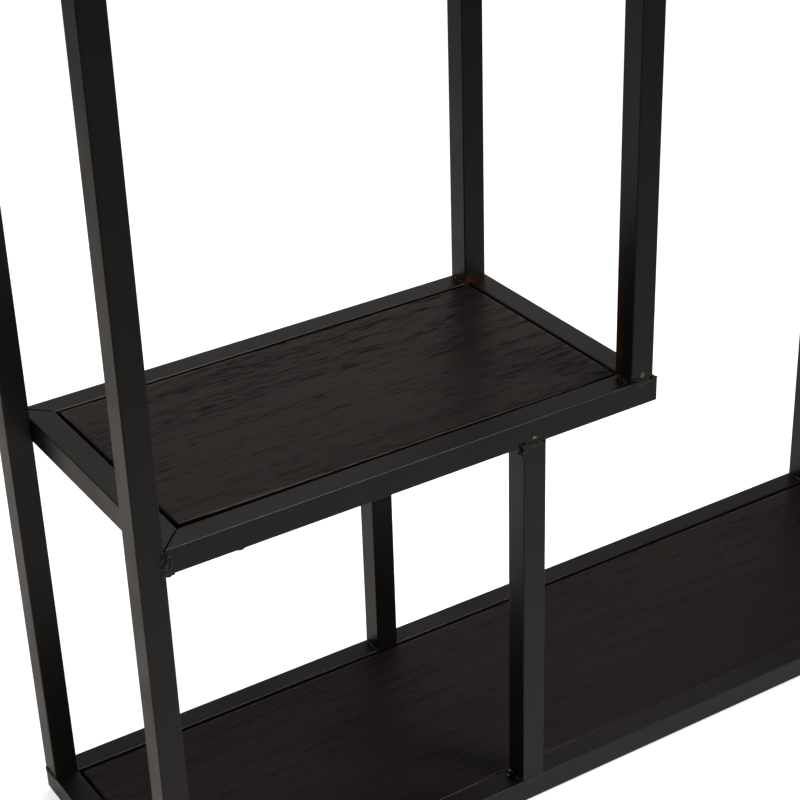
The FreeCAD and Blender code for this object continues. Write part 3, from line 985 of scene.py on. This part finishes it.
class BOOKCASE_OT_stick_pads(bpy.types.Operator):
    """Stick the felt pads under the corners of the bottom frame"""

    bl_idname = "bookcase.stick_pads"
    bl_label = "Stick Pads"

    def execute(self, context):
        fuzz = context.scene.bookcase_fixings.felt_fuzz
        mesh = bmesh.new()
        for points in solids_of("floor_pads"):
            low, high = box_of(points)
            self.add_pad(mesh, low, high, fuzz)
        new_piece("felt_pads", mesh, pressed_wool_felt(context.scene.bookcase_finish), "felt",
                  "floor_pads")
        return {"FINISHED"}

    def add_pad(self, mesh, low, high, fuzz):
        """One punched disc of felt, its edge bulged and uneven."""
        centre = (low + high) / 2
        radius = (high.x - low.x) / 2 - fuzz
        height = high.z - low.z
        segments = 48
        # Half outline from the underside's middle to the top's, in shares of radius and height
        profile = [(0.0, 0.0), (0.5, 0.0), (0.93, 0.0), (0.99, 0.12), (1.0, 0.5), (0.98, 0.88),
                   (0.93, 1.0), (0.0, 1.0)]
        rows = []
        for share, level in profile:
            row = []
            for segment in range(segments):
                angle = 2 * math.pi * segment / segments
                place = Vector((math.cos(angle), math.sin(angle), level))
                rough = fuzz * noise.noise((place + centre * 100) * 6) * share
                row.append(mesh.verts.new((
                    centre.x + (radius * share + rough) * place.x,
                    centre.y + (radius * share + rough) * place.y, low.z + height * level)))
            rows.append(row)
        stitch(mesh, rows, closed=True)
        bmesh.ops.remove_doubles(mesh, verts=rows[0] + rows[-1], dist=SAME_POINT)


class BOOKCASE_OT_set_stage(bpy.types.Operator):
    """Set the floor, the lamps, the world and the camera"""

    bl_idname = "bookcase.set_stage"
    bl_label = "Set Stage"

    def execute(self, context):
        stage = context.scene.bookcase_stage
        self.add_floor(stage)
        above = Vector(stage.overhead_place)
        self.add_lamp("overhead_softbox", above, above + DOWN, stage.overhead_size,
                      stage.overhead_power, stage.lamp_tint)
        front = self.add_lamp("front_softbox", stage.front_place, stage.camera_aim,
                              stage.front_size, stage.front_power, stage.lamp_tint)
        front.spread = stage.front_spread
        self.set_world(context, stage)
        self.add_camera(context, stage)
        context.scene.view_settings.view_transform = "Standard"
        return {"FINISHED"}

    def add_floor(self, stage):
        """A round of white paper under the bookcase."""
        mesh = bmesh.new()
        bmesh.ops.create_circle(mesh, cap_ends=True, segments=96, radius=stage.floor_radius)
        floor = new_mesh_object("paper_floor", mesh, white_paper_floor(stage))

    def add_lamp(self, name, place, aim, size, power, tint):
        """A square softbox that faces a point."""
        lamp = bpy.data.lights.new(name, "AREA")
        lamp.size = size
        lamp.energy = power
        lamp.color = tint[:3]
        holder = new_object(name, lamp)
        holder.location = place
        holder.rotation_euler = (Vector(aim) - Vector(place)).to_track_quat("-Z", "Y").to_euler()
        return lamp

    def set_world(self, context, stage):
        """Light from the studio's pale walls, bright at the floor and dim at the ceiling.

        To the eye they are plain white.
        """
        world = bpy.data.worlds.new("pale_studio")
        world.use_nodes = True
        tree = world.node_tree
        tree.nodes.clear()
        heading = add_node(tree, "ShaderNodeTexCoord").outputs["Generated"]
        rise = add_node(tree, "ShaderNodeSeparateXYZ", {"Vector": heading}).outputs["Z"]
        fade = remap(tree, rise, (0.0, 0.65), (stage.wall_light, stage.ceiling_light))
        walls = add_node(tree, "ShaderNodeBackground", {
            "Color": [*stage.wall_tint], "Strength": fade})
        white = add_node(tree, "ShaderNodeBackground", {"Color": linear("#ffffff")})
        seen = add_node(tree, "ShaderNodeLightPath").outputs["Is Camera Ray"]
        both = add_node(tree, "ShaderNodeMixShader", {0: seen, 1: walls, 2: white})
        add_node(tree, "ShaderNodeOutputWorld", {"Surface": both})
        context.scene.world = world

    def add_camera(self, context, stage):
        """The camera, at the height and angle that the shelves are seen from."""
        data = bpy.data.cameras.new("camera")
        data.lens = stage.lens
        data.shift_x, data.shift_y = stage.shift
        data.clip_start, data.clip_end = CAMERA_RANGE
        camera = new_object("camera", data)
        sight = Vector(stage.camera_aim) - Vector(stage.camera_place)
        level = sight.to_track_quat("-Z", "Y").to_matrix()
        turned = level @ Matrix.Rotation(stage.camera_roll, 3, "Z")
        camera.matrix_world = Matrix.Translation(stage.camera_place) @ turned.to_4x4()
        context.scene.camera = camera


OPERATORS = (
    BOOKCASE_OT_coat_frame,
    BOOKCASE_OT_lay_boards,
    BOOKCASE_OT_weld_frame,
    BOOKCASE_OT_drive_screws,
    BOOKCASE_OT_stick_pads,
    BOOKCASE_OT_set_stage,
)
SETTINGS = {
    "bookcase_finish": BOOKCASE_PG_finish,
    "bookcase_boards": BOOKCASE_PG_boards,
    "bookcase_welds": BOOKCASE_PG_welds,
    "bookcase_fixings": BOOKCASE_PG_fixings,
    "bookcase_stage": BOOKCASE_PG_stage,
}


class BOOKCASE_PT_build(bpy.types.Panel):
    """The steps that finish the bookcase, in order, with their settings"""

    bl_idname = "BOOKCASE_PT_build"
    bl_label = "Bookcase"
    bl_space_type = "VIEW_3D"
    bl_region_type = "UI"
    bl_category = "Bookcase"

    def draw(self, context):
        for operator in OPERATORS:
            self.layout.operator(operator.bl_idname)
        for name, group in SETTINGS.items():
            box = self.layout.box()
            for setting in group.__annotations__:
                box.prop(getattr(context.scene, name), setting)


CLASSES = (*SETTINGS.values(), *OPERATORS, BOOKCASE_PT_build)


def register():
    """Register the classes and hang their settings on the scene."""
    for kind in CLASSES:
        bpy.utils.register_class(kind)
    for name, group in SETTINGS.items():
        setattr(bpy.types.Scene, name, bpy.props.PointerProperty(type=group))


def unregister():
    """Take the settings and the classes away again."""
    for name in SETTINGS:
        delattr(bpy.types.Scene, name)
    for kind in reversed(CLASSES):
        bpy.utils.unregister_class(kind)


def main():
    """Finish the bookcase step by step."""
    register()
    bpy.ops.bookcase.coat_frame()
    bpy.ops.bookcase.lay_boards()
    bpy.ops.bookcase.weld_frame()
    bpy.ops.bookcase.drive_screws()
    bpy.ops.bookcase.stick_pads()
    bpy.ops.bookcase.set_stage()


if __name__ == "__main__":
    main()
